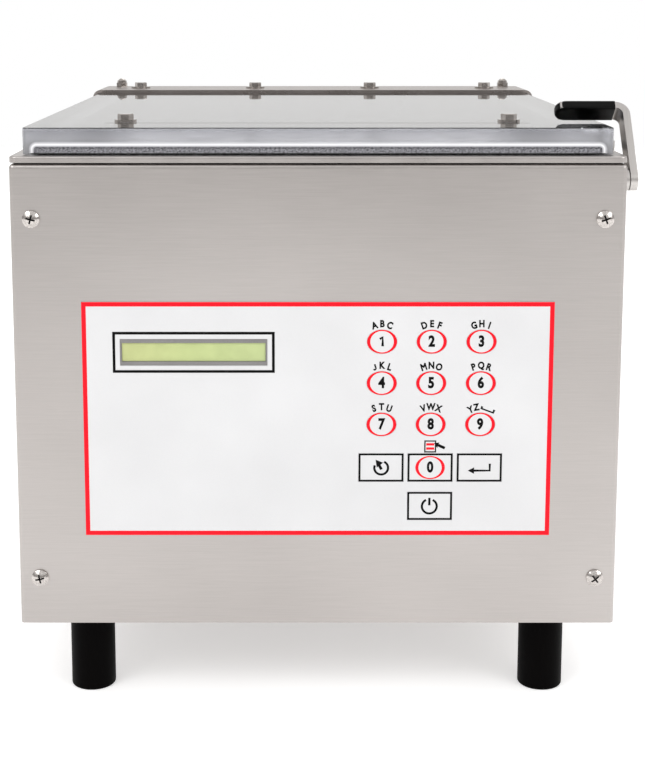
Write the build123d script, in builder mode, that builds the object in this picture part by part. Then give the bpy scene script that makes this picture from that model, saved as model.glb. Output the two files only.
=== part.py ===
from build123d import *
import os
from math import cos, radians, sin

# Table-top chamber vacuum packing machine, in millimetres.
# X to the right, Y to the back, Z up. The drawing is made about the cabinet's own middle;
# write() moves every piece so that the origin is on the bench, under the middle of the whole box.

# Cabinet
body_width = 420
body_depth = 500
panel_height = 326.5
sheet = 1.5
bend_radius = 3
flange_depth = 18
seam = 0.5
panel_play = 0.2
cut_margin = 1
base_thickness = 2
base_vent_rows = 6
base_vent_pitch = 19.8
base_vent_inset = 80
base_vent_y = 120
post_width = 25
post_depth = 40
post_thickness = 2
post_gap = 0.6
post_front_gap = 0.1

# Feet
foot_height = 60
foot_diameter = 32
foot_side_inset = 46
foot_end_inset = 35
foot_edge = 1.5
foot_bolt_diameter = 8
foot_bolt_depth = 25
foot_bolt_spare = 2
foot_bolt_flats = 13
foot_bolt_head = 5.3
bolt_clearance = 0.1

# Pan head screws
pan_head_diameter = 12
pan_head_height = 3.6
pan_head_rim = 1.2
pan_dome_radius = 10
pan_recess_length = 6.4
pan_recess_width = 1.2
pan_recess_depth = 2.2
pan_shank_diameter = 6
pan_shank_length = 10
screw_side_inset = 14.5
screw_top_inset = 37.6
screw_bottom_inset = 33.4
side_screw_inset = 31

# Chamber
rim_gap = 0.8
rim_height = 4.5
rim_corner = 5
rim_edge = 1.5
tub_wall = 2
chamber_side_inset = 35
chamber_front_inset = 35
chamber_rear_inset = 80
chamber_depth = 121.8
chamber_corner = 28
chamber_floor_radius = 12
port_diameter = 14
port_boss_diameter = 24
port_boss_height = 8
port_x = 25
port_y = 40

# Lid
lid_gap = 0.8
lid_side_inset = 8.5
lid_front_inset = 7
lid_rear_inset = 28
lid_thickness = 18
lid_corner = 3
lid_edge = 0.6
groove_inset = 5
groove_width = 8
groove_depth = 5
groove_corner = 9
groove_rear_inset = 30
gasket_side_gap = 0.2
gasket_gap = 0.1

# Lid hinge
strip_thickness = 2.5
strip_width = 73
strip_rear_inset = 3
strip_side_inset = 0.8
strip_bend = 7.2
ear_drop = 9
hinge_inset = 14
hinge_rise = 8.4
hinge_pin_diameter = 6
hinge_lobe_gap = 0.5
bracket_lobe_gap = 3
running_clearance = 0.05
bracket_thickness = 3
ear_gap = 0.7
block_length = 23.5
block_gap = 1.1
pin_reach = 9.5
pin_head_diameter = 10
pin_head_height = 2
cap_nut_inset = 21.4
cap_nut_flats = 10
cap_nut_hex = 4
cap_nut_radius = 4.6
cap_nut_neck = 2
stud_diameter = 6
stud_depth = 6
strip_bolt_spacing = 111.4
strip_bolt_setback = 39
strip_bolt_diameter = 6
strip_bolt_flats = 10
strip_bolt_head = 4
strip_washer_diameter = 18
washer_thickness = 1.6
thread_floor = 3
bolt_end_gap = 0.5
pin_end_gap = 0.2
edge_tolerance = 0.01

# Counter bar under the lid and seal bar in the chamber
seal_length = 300
seal_setback = 64
counter_width = 18
counter_height = 8
counter_bolt_spacing = 274.4
counter_bolt_diameter = 6
counter_bolt_flats = 10
counter_bolt_head = 4
counter_washer_diameter = 16
silicone_width = 10
silicone_height = 8
silicone_seat = 3
silicone_play = 0.2
silicone_edge = 2
counter_end = 2
seal_width = 16
seal_height = 22
seal_edge = 2
seal_lift = 6
seal_gap = 0.3
strip_heater_width = 4
strip_heater_thickness = 0.3
strip_heater_end = 3
cylinder_diameter = 26
cylinder_height = 72
cylinder_edge = 2
rod_diameter = 8
rod_spacing = 220
rod_length = 66

# Handle at the right of the lid
bar_width = 15
bar_thickness = 5
bar_gap = 4.5
bar_bend = 10
lever_length = 57.4
lever_lean = 38
lever_pivot_inset = 18
lever_pivot_drop = 18
sleeve_width = 17
sleeve_thickness = 7
sleeve_length = 41.5
sleeve_gap = 0.1
sleeve_end = 3
sleeve_nose_share = 0.47
sleeve_edge_share = 0.3
pivot_diameter = 8
pivot_head_diameter = 11
pivot_head_height = 2
arm_thickness = 3
arm_side_gap = 0.8
arm_front = 65
arm_length = 36
arm_lift = 1
arm_screw_diameter = 5
arm_screw_length = 12
arm_screw_inset = 9
arm_screw_rise = 1
arm_screw_flats = 8
arm_screw_head = 3.5
arm_top_gap = 2

# Keypad and display
overlay_width = 325
overlay_height = 166.5
overlay_bottom = 65.1
overlay_thickness = 0.8
overlay_corner = 1
key_columns = (44.2, 78.4, 112.7)
key_rows = (203.8, 174.5, 145.1)
oval_key_width = 21
oval_key_height = 17.1
wide_key_width = 31.6
wide_key_height = 20.6
wide_key_row = 114.1
power_key_row = 86.3
key_seam = 0.2
key_lip = 1
key_lip_thickness = 0.8
key_travel = 0.5
keypad_margin = 3
key_switch_diameter = 6
key_switch_height = 0.8
key_switch_gap = 0.45
keypad_board_margin = 7
spacer_diameter = 6
spacer_inset = 3.5
board_thickness = 1.6
display_x = -85.6
display_row = 196.3
bezel_width = 101.4
bezel_height = 18.5
bezel_proud = 0.6
screen_width = 99
screen_height = 12.8
screen_inset = 0.3
module_margin = 8
module_depth = 9
fit_gap = 0.15

# Works under the chamber
mount_height = 15
mount_diameter = 25
pump_y = 40
pump_left = -25
pump_width = 100
pump_depth = 120
pump_height = 138
pump_corner = 8
pump_edge = 5
pump_port_depth = 40
pump_boss_diameter = 30
pump_boss_height = 10
motor_length = 150
motor_diameter = 135
motor_rise = 8
motor_edge = 12
motor_foot = 80
motor_foot_height = 24
oil_tank_width = 80
oil_tank_depth = 110
oil_tank_height = 123
oil_tank_corner = 14
oil_tank_edge = 6
valve_size = 40
valve_height = 24
valve_corner = 3
valve_coil_diameter = 22
valve_coil_length = 34
pipe_diameter = 18
circuit_width = 150
circuit_depth = 100
circuit_x = -95
circuit_y = -140
circuit_rise = 8
circuit_inset = 6
relay_count = 4
relay_pitch = 30
relay_width = 20
relay_depth = 28
relay_height = 16
relay_setback = 20
terminal_width = 110
terminal_depth = 18
terminal_height = 9
terminal_setback = -26
transformer_x = 120
transformer_y = -130
transformer_edge = 2
core_width = 84
core_depth = 30
core_height = 72
winding_width = 56
winding_depth = 64
winding_height = 46
winding_rise = 14
inlet_x = -150
inlet_rise = 40
inlet_width = 28
inlet_height = 22
inlet_depth = 20
inlet_flange = 3
inlet_face = 2
inlet_wall = 2
inlet_pin_spacing = 7
inlet_pin_width = 2
inlet_pin_height = 4
inlet_pin_length = 13
inlet_pin_rise = 2
vent_slots = 12
vent_slot_length = 60
vent_slot_height = 4
vent_pitch = 9
vent_share = 0.2

# Places that follow from the sizes above
side = body_width / 2
front = -body_depth / 2
rear = body_depth / 2
bottom = foot_height
floor_top = bottom + base_thickness
panel_top = bottom + panel_height
rim_bottom = panel_top + rim_gap
rim_top = rim_bottom + rim_height
chamber_floor = rim_top - chamber_depth
chamber_width = body_width - 2 * chamber_side_inset
chamber_length = body_depth - chamber_front_inset - chamber_rear_inset
chamber_front = front + chamber_front_inset
chamber_y = chamber_front + chamber_length / 2
lid_bottom = rim_top + lid_gap
lid_top = lid_bottom + lid_thickness
lid_width = body_width - 2 * lid_side_inset
lid_length = body_depth - lid_front_inset - lid_rear_inset
lid_front = front + lid_front_inset
lid_y = lid_front + lid_length / 2
strip_rear = rear - strip_rear_inset
strip_y = strip_rear - strip_width / 2
strip_top = lid_top + strip_thickness
ear_bottom = strip_top - ear_drop
ear_outside = side - strip_side_inset
ear_inside = ear_outside - strip_thickness
hinge_y = rear - hinge_inset
hinge_z = rim_top + hinge_rise
hinge_lobe = min(hinge_rise, lid_top - hinge_z) - hinge_lobe_gap
bracket_lobe = min(hinge_lobe, lid_top - hinge_z - bracket_lobe_gap)
cap_nut_x = side - cap_nut_inset
bracket_outside = ear_inside - ear_gap
bracket_inside = bracket_outside - bracket_thickness
block_outside = bracket_inside - block_gap
strip_bolt_y = strip_rear - strip_bolt_setback
seal_y = front + seal_setback
counter_bottom = lid_bottom - counter_height
silicone_bottom = counter_bottom + silicone_seat - silicone_height
heater_top = silicone_bottom - seal_gap - seal_lift
seal_top = heater_top - strip_heater_thickness
bar_inside = side + bar_gap
bar_outside = bar_inside + bar_thickness
pivot_y = front + lever_pivot_inset
pivot_z = rim_top - lever_pivot_drop
arm_inside = side + arm_side_gap
arm_outside = arm_inside + arm_thickness
post_outside = side - sheet - post_gap
post_front = front + tub_wall + post_front_gap
pump_top = floor_top + mount_height + pump_height
valve_bottom = chamber_floor - tub_wall - port_boss_height - valve_height
box_middle = (bar_outside - (side + pan_head_height)) / 2

screw_x = side - screw_side_inset
screw_rows = (bottom + screw_bottom_inset, panel_top - screw_top_inset)
side_screw_y = body_depth / 2 - side_screw_inset
display_z = bottom + display_row
overlay_z = bottom + overlay_bottom + overlay_height / 2

key_names = ("key_1", "key_2", "key_3", "key_4", "key_5", "key_6", "key_7", "key_8", "key_9")
oval_keys = {
    name: (key_columns[number % 3], bottom + key_rows[number // 3])
    for number, name in enumerate(key_names)
}
wide_keys = {
    "key_timer": (key_columns[0], bottom + wide_key_row),
    "key_0": (key_columns[1], bottom + wide_key_row),
    "key_enter": (key_columns[2], bottom + wide_key_row),
    "key_power": (key_columns[1], bottom + power_key_row),
}
all_keys = oval_keys | wide_keys
pad_left = key_columns[0] - wide_key_width / 2 - keypad_margin
pad_right = key_columns[2] + wide_key_width / 2 + keypad_margin
pad_bottom = bottom + power_key_row - wide_key_height / 2 - keypad_margin
pad_top = bottom + key_rows[0] + oval_key_height / 2 + keypad_margin
pad_x, pad_z = (pad_left + pad_right) / 2, (pad_bottom + pad_top) / 2
pad_width, pad_height = pad_right - pad_left, pad_top - pad_bottom

os.makedirs("parts", exist_ok=True)


def write(piece, label):
    piece.part.label = label
    piece.part.position -= (box_middle, 0, 0)
    export_step(piece.part, f"parts/{label}.step")


def front_plane(depth=0):
    # a plane parallel to the front, depth behind it, facing forwards; its x is X and its y is Z
    return Plane.XZ.offset(-(front + depth))


def key_outline(name, growth=0):
    if name in oval_keys:
        Ellipse(oval_key_width / 2 + growth, oval_key_height / 2 + growth)
    else:
        Rectangle(wide_key_width + 2 * growth, wide_key_height + 2 * growth)


# Fasteners, each made once standing on its seat and then copied

with BuildPart() as pan_screw:
    Cylinder(pan_shank_diameter / 2, pan_shank_length, align=(Align.CENTER, Align.CENTER, Align.MAX))
    with BuildSketch(Plane.XZ):
        with BuildLine():
            Polyline((0, pan_head_height), (0, 0), (pan_head_diameter / 2, 0))
            Line((pan_head_diameter / 2, 0), (pan_head_diameter / 2, pan_head_rim))
            RadiusArc((pan_head_diameter / 2, pan_head_rim), (0, pan_head_height), -pan_dome_radius)
        make_face()
    revolve(axis=Axis.Z)
    with BuildSketch(Plane.XY.offset(pan_head_height)):
        Rectangle(pan_recess_length, pan_recess_width)
        Rectangle(pan_recess_width, pan_recess_length)
    extrude(amount=-pan_recess_depth, mode=Mode.SUBTRACT)


def hex_bolt(flats, head, diameter, length):
    with BuildPart() as bolt:
        with BuildSketch():
            RegularPolygon(flats / 2, 6, major_radius=False)
        extrude(amount=head)
        chamfer(bolt.faces().sort_by(Axis.Z)[-1].edges(), head / 9)
        Cylinder(diameter / 2, length, align=(Align.CENTER, Align.CENTER, Align.MAX))
    return bolt.part


screw_turns = (12, 38, 75, 20)
screw_places = [(x, z) for z in screw_rows for x in (-screw_x, screw_x)]
front_seats = [
    Plane((x, front, z), x_dir=(cos(radians(turn)), 0, sin(radians(turn))), z_dir=(0, -1, 0))
    for (x, z), turn in zip(screw_places, screw_turns)
]
side_seats = [
    Plane((way * side, y, z), x_dir=(0, 1, 0), z_dir=(way, 0, 0))
    for way in (-1, 1) for y in (-side_screw_y, side_screw_y) for z in screw_rows
]
rear_seats = [
    Plane((x, rear, z), x_dir=(1, 0, 0), z_dir=(0, 1, 0))
    for x in (-screw_x, screw_x) for z in screw_rows
]
screw_hole = pan_shank_diameter / 2 + bolt_clearance

with BuildPart() as front_panel_screws:
    with Locations(*front_seats):
        add(pan_screw.part)
write(front_panel_screws, "front_panel_screws")

with BuildPart() as panel_screws:
    with Locations(*side_seats, *rear_seats):
        add(pan_screw.part)
write(panel_screws, "panel_screws")

# Cabinet

foot_places = [
    (x, y)
    for x in (-(side - foot_side_inset), side - foot_side_inset)
    for y in (front + foot_end_inset, rear - foot_end_inset)
]
mount_places = [
    (x, pump_y + y)
    for x in (pump_left - motor_length + motor_foot / 2, pump_left + pump_width - mount_diameter)
    for y in (-mount_diameter, mount_diameter)
]

with BuildPart() as base_plate:
    with BuildSketch(Plane.XY.offset(bottom)):
        RectangleRounded(
            body_width - 2 * sheet - panel_play, body_depth - 2 * sheet - panel_play, bend_radius
        )
        with Locations(*foot_places):
            Circle(foot_bolt_diameter / 2 + bolt_clearance, mode=Mode.SUBTRACT)
        with GridLocations(0, base_vent_pitch, 1, base_vent_rows):
            with Locations((side - base_vent_inset, base_vent_y)):
                SlotOverall(vent_slot_length, vent_slot_height, mode=Mode.SUBTRACT)
    extrude(amount=base_thickness)
write(base_plate, "base_plate")

with BuildPart() as feet:
    with Locations(*[(x, y, 0) for x, y in foot_places]):
        Cylinder(foot_diameter / 2, foot_height, align=(Align.CENTER, Align.CENTER, Align.MIN))
    fillet(feet.edges().group_by(Axis.Z)[0], foot_edge)
    with BuildSketch(Plane.XY.offset(bottom)):
        with Locations(*foot_places):
            Circle(foot_bolt_diameter / 2 + bolt_clearance)
    extrude(amount=-(foot_bolt_depth + foot_bolt_spare), mode=Mode.SUBTRACT)
write(feet, "feet")

foot_bolt = hex_bolt(
    foot_bolt_flats, foot_bolt_head, foot_bolt_diameter, foot_bolt_depth + base_thickness
)
with BuildPart() as foot_bolts:
    with Locations(*[(x, y, floor_top) for x, y in foot_places]):
        add(foot_bolt)
write(foot_bolts, "foot_bolts")

with BuildPart() as front_panel:
    with Locations((0, front + flange_depth / 2, bottom + panel_height / 2)):
        Box(body_width, flange_depth, panel_height)
    face_edges = front_panel.faces().sort_by(Axis.Y)[0].edges().sort_by(Axis.Z)[1:]
    corner_edges = front_panel.edges().filter_by(Axis.Y).sort_by(Axis.Z)[-2:]
    fillet(face_edges + corner_edges, bend_radius)
    open_faces = [front_panel.faces().sort_by(Axis.Y)[-1], front_panel.faces().sort_by(Axis.Z)[0]]
    offset(amount=-sheet, openings=open_faces)
    with BuildSketch(front_plane(-cut_margin)):
        with Locations((pad_x, pad_z)):
            Rectangle(pad_width, pad_height)
        with Locations((display_x, display_z)):
            Rectangle(bezel_width + 2 * fit_gap, bezel_height + 2 * fit_gap)
        with Locations(*screw_places):
            Circle(screw_hole)
    extrude(amount=-(sheet + 2 * cut_margin), mode=Mode.SUBTRACT)
write(front_panel, "front_panel")

panel_length = body_depth - flange_depth - seam
for way, label in ((-1, "left_side_panel"), (1, "right_side_panel")):
    with BuildPart() as side_panel:
        with Locations((way * (side - sheet / 2), rear - panel_length / 2, bottom + panel_height / 2)):
            Box(sheet, panel_length, panel_height)
        with BuildSketch(Plane.YZ.offset(way * side)):
            with Locations(*[(y, z) for y in (-side_screw_y, side_screw_y) for z in screw_rows]):
                Circle(screw_hole)
        extrude(amount=-way * 2 * sheet, mode=Mode.SUBTRACT)
    write(side_panel, label)

with BuildPart() as rear_panel:
    with BuildSketch(Plane.XZ.offset(-rear)):
        with Locations((0, bottom + panel_height / 2)):
            Rectangle(body_width - 2 * sheet - panel_play, panel_height)
        with Locations(*screw_places):
            Circle(screw_hole, mode=Mode.SUBTRACT)
        with Locations((inlet_x, bottom + inlet_rise)):
            Rectangle(inlet_width + 2 * fit_gap, inlet_height + 2 * fit_gap, mode=Mode.SUBTRACT)
        for vent_x in (-vent_share * body_width, vent_share * body_width):
            with Locations((vent_x, bottom + panel_height / 2)):
                with GridLocations(0, vent_pitch, 1, vent_slots):
                    SlotOverall(vent_slot_length, vent_slot_height, mode=Mode.SUBTRACT)
    extrude(amount=sheet)
write(rear_panel, "rear_panel")

with BuildPart() as corner_posts:
    with BuildSketch(Plane.XY.offset(floor_top)):
        with Locations((post_outside, post_front)):
            Rectangle(post_width, post_thickness, align=(Align.MAX, Align.MIN))
            Rectangle(post_thickness, post_depth, align=(Align.MAX, Align.MIN))
    extrude(amount=rim_top - tub_wall - floor_top)
    fillet(corner_posts.edges().filter_by(Axis.Z).sort_by(Axis((0, 0, 0), (1, -1, 0)))[-1], rim_corner)
    with Locations((side, front, panel_top - sheet - seam)):
        Box(
            2 * post_depth, 2 * (flange_depth + seam), post_depth,
            align=(Align.CENTER, Align.CENTER, Align.MIN), mode=Mode.SUBTRACT,
        )
    with BuildSketch(front_plane()):
        with Locations(*[(screw_x, z) for z in screw_rows]):
            Circle(screw_hole)
    extrude(amount=-post_depth, mode=Mode.SUBTRACT)
    with BuildSketch(Plane.YZ.offset(side)):
        with Locations(*[(-side_screw_y, z) for z in screw_rows]):
            Circle(screw_hole)
    extrude(amount=-2 * post_width, mode=Mode.SUBTRACT)
    mirror(about=Plane.YZ)
    mirror(about=Plane.XZ)
write(corner_posts, "corner_posts")

# Chamber tub, with its rim and the two brackets that are welded to it for the hinge

with BuildPart() as tub_space:
    with BuildSketch(Plane.XY.offset(chamber_floor)):
        with Locations((0, chamber_y)):
            RectangleRounded(chamber_width, chamber_length, chamber_corner)
    extrude(amount=chamber_depth)
    fillet(tub_space.faces().sort_by(Axis.Z)[0].edges(), chamber_floor_radius)

with BuildPart() as tub_body:
    with BuildSketch(Plane.XY.offset(chamber_floor - tub_wall)):
        with Locations((0, chamber_y)):
            RectangleRounded(
                chamber_width + 2 * tub_wall, chamber_length + 2 * tub_wall, chamber_corner + tub_wall
            )
    extrude(amount=chamber_depth)
    fillet(tub_body.faces().sort_by(Axis.Z)[0].edges(), chamber_floor_radius + tub_wall)

with BuildPart() as chamber_tub:
    with BuildSketch(Plane.XY.offset(rim_bottom)):
        RectangleRounded(body_width, body_depth, rim_corner)
    extrude(amount=rim_height)
    fillet(chamber_tub.faces().sort_by(Axis.Z)[-1].edges(), rim_edge)
    with BuildSketch(Plane.XY.offset(rim_bottom)):
        RectangleRounded(body_width - 2 * tub_wall, body_depth - 2 * tub_wall, rim_corner - tub_wall)
    extrude(amount=rim_height - tub_wall, mode=Mode.SUBTRACT)
    add(tub_body.part)
    with Locations((port_x, port_y, chamber_floor - tub_wall)):
        Cylinder(port_boss_diameter / 2, port_boss_height, align=(Align.CENTER, Align.CENTER, Align.MAX))
    add(tub_space.part, mode=Mode.SUBTRACT)
    with Locations((port_x, port_y, chamber_floor)):
        Cylinder(port_diameter / 2, 4 * port_boss_height, mode=Mode.SUBTRACT)
    for inner in (bracket_inside, -bracket_outside):
        with BuildSketch(Plane.YZ.offset(inner)):
            with Locations((hinge_y, rim_top)):
                Rectangle(2 * bracket_lobe, hinge_rise, align=(Align.CENTER, Align.MIN))
            with Locations((hinge_y, hinge_z)):
                Circle(bracket_lobe)
                Circle(hinge_pin_diameter / 2 + running_clearance, mode=Mode.SUBTRACT)
        extrude(amount=bracket_thickness)
write(chamber_tub, "chamber_tub")

# Keypad and display

with BuildPart() as keypad_overlay:
    with BuildSketch(front_plane()):
        with Locations((0, overlay_z)):
            RectangleRounded(overlay_width, overlay_height, overlay_corner)
        for name, place in all_keys.items():
            with BuildSketch(mode=Mode.PRIVATE) as opening:
                key_outline(name)
            with Locations(place):
                add(opening.sketch, mode=Mode.SUBTRACT)
        with Locations((display_x, display_z)):
            Rectangle(bezel_width + 2 * fit_gap, bezel_height + 2 * fit_gap, mode=Mode.SUBTRACT)
    extrude(amount=overlay_thickness)
write(keypad_overlay, "keypad_overlay")

lip_front = running_clearance
for name, (key_x, key_z) in all_keys.items():
    with BuildPart() as key:
        with BuildSketch(front_plane(-overlay_thickness)):
            with Locations((key_x, key_z)):
                key_outline(name, -key_seam)
        extrude(amount=-(overlay_thickness + lip_front))
        with BuildSketch(front_plane(lip_front)):
            with Locations((key_x, key_z)):
                key_outline(name, key_lip)
        extrude(amount=-key_lip_thickness)
    write(key, name)

board_front = lip_front + key_lip_thickness + key_travel + key_switch_gap + key_switch_height
with BuildPart() as keypad_board:
    with BuildSketch(front_plane(board_front)):
        with Locations((pad_x, pad_z)):
            Rectangle(pad_width + 2 * keypad_board_margin, pad_height + 2 * keypad_board_margin)
    extrude(amount=-board_thickness)
write(keypad_board, "keypad_board")

with BuildPart() as key_switches:
    with BuildSketch(front_plane(board_front)):
        with Locations(*all_keys.values()):
            Circle(key_switch_diameter / 2)
    extrude(amount=key_switch_height)
write(key_switches, "key_switches")

circuit_bottom = floor_top + circuit_rise
spacer_reach = 2 * (keypad_board_margin - spacer_inset)
with BuildPart() as board_spacers:
    with BuildSketch(front_plane(sheet)):
        with Locations((pad_x, pad_z)):
            with GridLocations(pad_width + spacer_reach, pad_height + spacer_reach, 2, 2):
                Circle(spacer_diameter / 2)
    extrude(amount=sheet - board_front)
    with BuildSketch(Plane.XY.offset(floor_top)):
        with Locations((circuit_x, circuit_y)):
            with GridLocations(circuit_width - 2 * circuit_inset, circuit_depth - 2 * circuit_inset, 2, 2):
                Circle(spacer_diameter / 2)
    extrude(amount=circuit_rise)
write(board_spacers, "board_spacers")

with BuildPart() as display_bezel:
    with BuildSketch(front_plane(-bezel_proud)):
        with Locations((display_x, display_z)):
            Rectangle(bezel_width, bezel_height)
            Rectangle(screen_width + 2 * fit_gap, screen_height + 2 * fit_gap, mode=Mode.SUBTRACT)
    extrude(amount=-(bezel_proud + sheet))
write(display_bezel, "display_bezel")

with BuildPart() as display_module:
    with BuildSketch(front_plane(screen_inset)):
        with Locations((display_x, display_z)):
            Rectangle(screen_width, screen_height)
    extrude(amount=-(sheet - screen_inset))
    with BuildSketch(front_plane(sheet)):
        with Locations((display_x, display_z)):
            Rectangle(bezel_width + 2 * module_margin, bezel_height + 2 * module_margin)
    extrude(amount=-module_depth)
write(display_module, "display_module")

# Works under the chamber

mount_top = floor_top + mount_height
with BuildPart() as pump_mounts:
    with BuildSketch(Plane.XY.offset(floor_top)):
        with Locations(*mount_places):
            Circle(mount_diameter / 2)
    extrude(amount=mount_height)
write(pump_mounts, "pump_mounts")

with BuildPart() as pump_housing:
    with BuildSketch(Plane.XY.offset(mount_top)):
        with Locations((pump_left + pump_width / 2, pump_y)):
            RectangleRounded(pump_width, pump_depth, pump_corner)
    extrude(amount=pump_height)
    fillet(pump_housing.faces().sort_by(Axis.Z)[-1].edges(), pump_edge)
    with BuildSketch(Plane.XY.offset(pump_top)):
        with Locations((port_x, port_y)):
            Circle(pump_boss_diameter / 2)
    extrude(amount=pump_boss_height)
    with Locations((port_x, port_y, pump_top + pump_boss_height)):
        Hole(port_diameter / 2, pump_port_depth)
write(pump_housing, "pump_housing")

motor_z = mount_top + motor_rise + motor_diameter / 2
with BuildPart() as pump_motor:
    with BuildSketch(Plane.YZ.offset(pump_left)):
        with Locations((pump_y, motor_z)):
            Circle(motor_diameter / 2)
    extrude(amount=-motor_length)
    fillet(pump_motor.faces().sort_by(Axis.X)[0].edges(), motor_edge)
    with Locations((pump_left - motor_length + motor_foot / 2, pump_y, mount_top)):
        Box(motor_foot, motor_foot, motor_foot_height, align=(Align.CENTER, Align.CENTER, Align.MIN))
write(pump_motor, "pump_motor")

with BuildPart() as oil_tank:
    with BuildSketch(Plane.YZ.offset(pump_left + pump_width)):
        with Locations((pump_y, mount_top + oil_tank_height / 2)):
            RectangleRounded(oil_tank_depth, oil_tank_height, oil_tank_corner)
    extrude(amount=oil_tank_width)
    fillet(oil_tank.faces().sort_by(Axis.X)[-1].edges(), oil_tank_edge)
write(oil_tank, "oil_tank")

with BuildPart() as suction_pipe:
    with BuildSketch(Plane.XY.offset(pump_top + pump_boss_height)):
        with Locations((port_x, port_y)):
            Circle(pipe_diameter / 2)
            Circle(port_diameter / 2, mode=Mode.SUBTRACT)
    extrude(amount=valve_bottom - pump_top - pump_boss_height)
write(suction_pipe, "suction_pipe")

with BuildPart() as vacuum_valve:
    with BuildSketch(Plane.XY.offset(valve_bottom)):
        with Locations((port_x, port_y)):
            RectangleRounded(valve_size, valve_size, valve_corner)
            Circle(port_diameter / 2, mode=Mode.SUBTRACT)
    extrude(amount=valve_height)
    with BuildSketch(Plane.XZ.offset(-(port_y + valve_size / 2))):
        with Locations((port_x, valve_bottom + valve_height / 2)):
            Circle(valve_coil_diameter / 2)
    extrude(amount=-valve_coil_length)
write(vacuum_valve, "vacuum_valve")

with BuildPart() as transformer:
    with Locations((transformer_x, transformer_y, floor_top)):
        Box(core_width, core_depth, core_height, align=(Align.CENTER, Align.CENTER, Align.MIN))
    with Locations((transformer_x, transformer_y, floor_top + winding_rise)):
        Box(winding_width, winding_depth, winding_height, align=(Align.CENTER, Align.CENTER, Align.MIN))
    fillet(transformer.edges().filter_by(Axis.Z), transformer_edge)
write(transformer, "transformer")

with BuildPart() as control_board:
    with BuildSketch(Plane.XY.offset(circuit_bottom)):
        with Locations((circuit_x, circuit_y)):
            Rectangle(circuit_width, circuit_depth)
    extrude(amount=board_thickness)
    with BuildSketch(Plane.XY.offset(circuit_bottom + board_thickness)):
        with Locations((circuit_x, circuit_y + relay_setback)):
            with GridLocations(relay_pitch, 0, relay_count, 1):
                Rectangle(relay_width, relay_depth)
    extrude(amount=relay_height)
    with BuildSketch(Plane.XY.offset(circuit_bottom + board_thickness)):
        with Locations((circuit_x, circuit_y + terminal_setback)):
            Rectangle(terminal_width, terminal_depth)
    extrude(amount=terminal_height)
write(control_board, "control_board")

inlet_z = bottom + inlet_rise
socket_floor = rear + inlet_face + inlet_wall - inlet_depth
with BuildPart() as mains_inlet:
    with Locations((inlet_x, rear, inlet_z)):
        Box(inlet_width, inlet_depth, inlet_height, align=(Align.CENTER, Align.MAX, Align.CENTER))
        Box(
            inlet_width + 2 * inlet_flange, inlet_face, inlet_height + 2 * inlet_flange,
            align=(Align.CENTER, Align.MIN, Align.CENTER),
        )
    with Locations((inlet_x, rear + inlet_face, inlet_z)):
        Box(
            inlet_width - 2 * inlet_wall, inlet_depth - inlet_wall, inlet_height - 2 * inlet_wall,
            align=(Align.CENTER, Align.MAX, Align.CENTER), mode=Mode.SUBTRACT,
        )
    with Locations(*[
        (inlet_x + step * inlet_pin_spacing, socket_floor, inlet_z + inlet_pin_rise)
        for step in (-1, 0, 1)
    ]):
        Box(
            inlet_pin_width, inlet_pin_length, inlet_pin_height, align=(Align.CENTER, Align.MIN, Align.MIN)
        )
write(mains_inlet, "mains_inlet")

# Lid

groove_z = lid_bottom + groove_depth
groove_span = lid_width - 2 * groove_inset
groove_length = lid_length - groove_inset - groove_rear_inset
groove_y = lid_front + groove_inset + groove_length / 2
strip_bolt_xs = [strip_bolt_spacing * step for step in (-1.5, -0.5, 0.5, 1.5)]
counter_bolt_xs = (-counter_bolt_spacing / 2, counter_bolt_spacing / 2)
arm_rear_y = front + arm_front + arm_length
arm_screw_ys = (front + arm_front + arm_screw_inset, arm_rear_y - arm_screw_inset)
arm_low = lid_bottom + arm_lift
arm_screw_z = lid_bottom + lid_thickness / 2 + arm_screw_rise


def gasket_loop(height, gap=0):
    # the loop of the groove or of the gasket in it, drawn at height
    with BuildSketch(Plane.XY.offset(height)) as loop:
        with Locations((0, groove_y)):
            RectangleRounded(groove_span - 2 * gap, groove_length - 2 * gap, groove_corner - gap)
            RectangleRounded(
                groove_span - 2 * (groove_width - gap),
                groove_length - 2 * (groove_width - gap),
                groove_corner - groove_width + gap,
                mode=Mode.SUBTRACT,
            )
    return loop.sketch


with BuildPart() as lid_plate:
    with BuildSketch(Plane.XY.offset(lid_bottom)):
        with Locations((0, lid_y)):
            RectangleRounded(lid_width, lid_length, lid_corner)
    extrude(amount=lid_thickness)
    chamfer(lid_plate.faces().sort_by(Axis.Z)[-1].edges(), lid_edge)
    extrude(gasket_loop(lid_bottom), amount=groove_depth, mode=Mode.SUBTRACT)
    with Locations(*[(x, strip_bolt_y, lid_top) for x in strip_bolt_xs]):
        Hole(strip_bolt_diameter / 2 + bolt_clearance, lid_thickness - thread_floor)
    with Locations(*[(x, seal_y, lid_top) for x in counter_bolt_xs]):
        Hole(counter_bolt_diameter / 2 + bolt_clearance, lid_thickness)
    with BuildSketch(Plane.YZ.offset(lid_width / 2)):
        with Locations(*[(y, arm_screw_z) for y in arm_screw_ys]):
            Circle(arm_screw_diameter / 2 + running_clearance)
    extrude(amount=-arm_screw_length, mode=Mode.SUBTRACT)
write(lid_plate, "lid_plate")

with BuildPart() as lid_gasket:
    extrude(gasket_loop(rim_top + gasket_gap, gasket_side_gap), amount=groove_z - rim_top - 2 * gasket_gap)
write(lid_gasket, "lid_gasket")

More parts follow.
